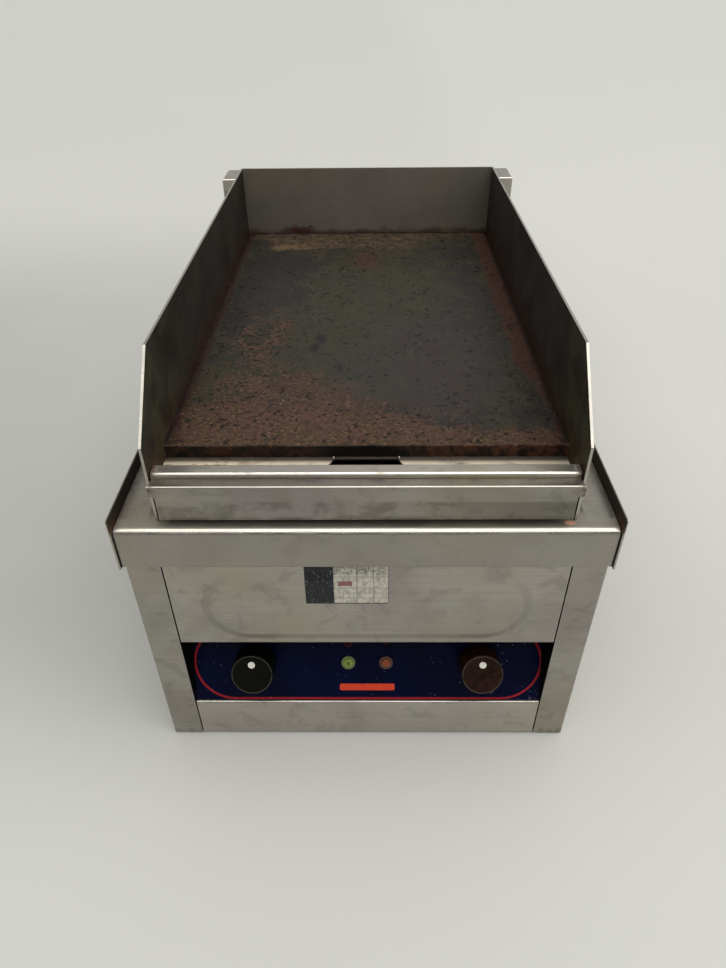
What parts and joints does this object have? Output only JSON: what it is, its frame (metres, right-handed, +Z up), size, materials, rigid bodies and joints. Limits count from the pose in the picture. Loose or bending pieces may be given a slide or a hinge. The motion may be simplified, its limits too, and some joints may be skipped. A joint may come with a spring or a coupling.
{
  "type": "flat top griddle",
  "caption": "Countertop electric griddle: steel plate with splash guards on three sides, drain gutter and drip drawer, over a folded steel body with turning controls.",
  "frame": {"origin": "middle of the overall footprint, at the underside of the feet", "axes": "+X to the right as the cook sees it, -Y towards the cook, +Z up"},
  "size_m": [0.401, 0.671, 0.414],
  "materials": {
    "stainless": "horizontally brushed, worn",
    "guard_steel": "heat-darkened, brushed",
    "griddle_steel": "bare ground steel plate with rust and burnt grease",
    "galvanised": "plain sheet",
    "screw_steel": "plated",
    "film_blue": "dark blue printed film",
    "knob_black": "black phenolic plastic",
    "dot_white": "white inlay",
    "casing_black": "black moulded casing",
    "bezel_grey": "clear-grey plastic ring",
    "lens_green": "translucent green",
    "lens_amber": "translucent amber",
    "label_paper": "worn printed label",
    "rubber_black": "matt",
    "element_steel": "matt grey alloy sheath",
    "ceramic_white": "unglazed",
    "wool_white": "ceramic wool board",
    "copper": "drawn",
    "brass": "plain",
    "wire_insulation": "silicone insulation",
    "limiter_red": "moulded"
  },
  "bodies": {
    "griddle": {"amber_lamp_lens": "lens_amber", "base_plate": "galvanised", "cable_gland": "casing_black", "clamp_nuts": "screw_steel", "control_panel": "stainless", "control_screws": "screw_steel", "drain_gutter": "stainless", "drawer_runners": "galvanised", "earth_nuts": "brass", "earth_stud": "brass", "element_clamps": "galvanised", "foot_pads": "rubber_black", "front_crossrail": "galvanised", "gland_locknut": "casing_black", "green_lamp_lens": "lens_green", "griddle_plate": "griddle_steel", "heat_shield": "galvanised", "insulation": "wool_white", "lamp_bezels": "bezel_grey", "lamp_bodies": "casing_black", "lamp_nuts": "screw_steel", "left_guard": "guard_steel", "left_heating_element": "element_steel", "left_side_panel": "stainless", "limiter_bulb": "copper", "limiter_button": "limiter_red", "lower_front_panel": "stainless", "panel_brackets": "galvanised", "panel_overlay": "film_blue", "panel_screws": "screw_steel", "plate_rails": "galvanised", "plate_studs": "screw_steel", "rating_label": "label_paper", "rear_guard": "guard_steel", "rear_panel": "galvanised", "rear_plate_bracket": "galvanised", "rear_upstand": "stainless", "right_guard": "guard_steel", "right_heating_element": "element_steel", "right_side_panel": "stainless", "safety_limiter": "casing_black", "selector_switch": "casing_black", "terminal_beads": "ceramic_white", "terminal_block": "ceramic_white", "terminal_pins": "screw_steel", "terminal_screws": "brass", "thermostat": "casing_black", "thermostat_bulb": "copper", "upper_front_panel": "stainless", "wiring": "wire_insulation", "worktop": "stainless"},
    "left_control": {"left_knob": "knob_black", "left_knob_dot": "dot_white", "left_shaft": "screw_steel"},
    "right_control": {"right_knob": "knob_black", "right_knob_dot": "dot_white", "right_shaft": "screw_steel"},
    "drawer": {"drawer_front": "stainless", "drawer_tray": "stainless"}
  },
  "joints": [
    {"name": "left_control_turn", "type": "hinge", "parent": "griddle", "child": "left_control", "pos_m": [-0.109, -0.30317, 0.09216], "axis": [0, 0.9063, -0.4226], "range_deg": [0, 270]},
    {"name": "right_control_turn", "type": "hinge", "parent": "griddle", "child": "right_control", "pos_m": [0.109, -0.30317, 0.09216], "axis": [0, 0.9063, -0.4226], "range_deg": [0, 300]},
    {"name": "drawer_slide", "type": "slide", "parent": "griddle", "child": "drawer", "axis": [0, -1, 0], "range_m": [0, 0.07]}
  ]
}
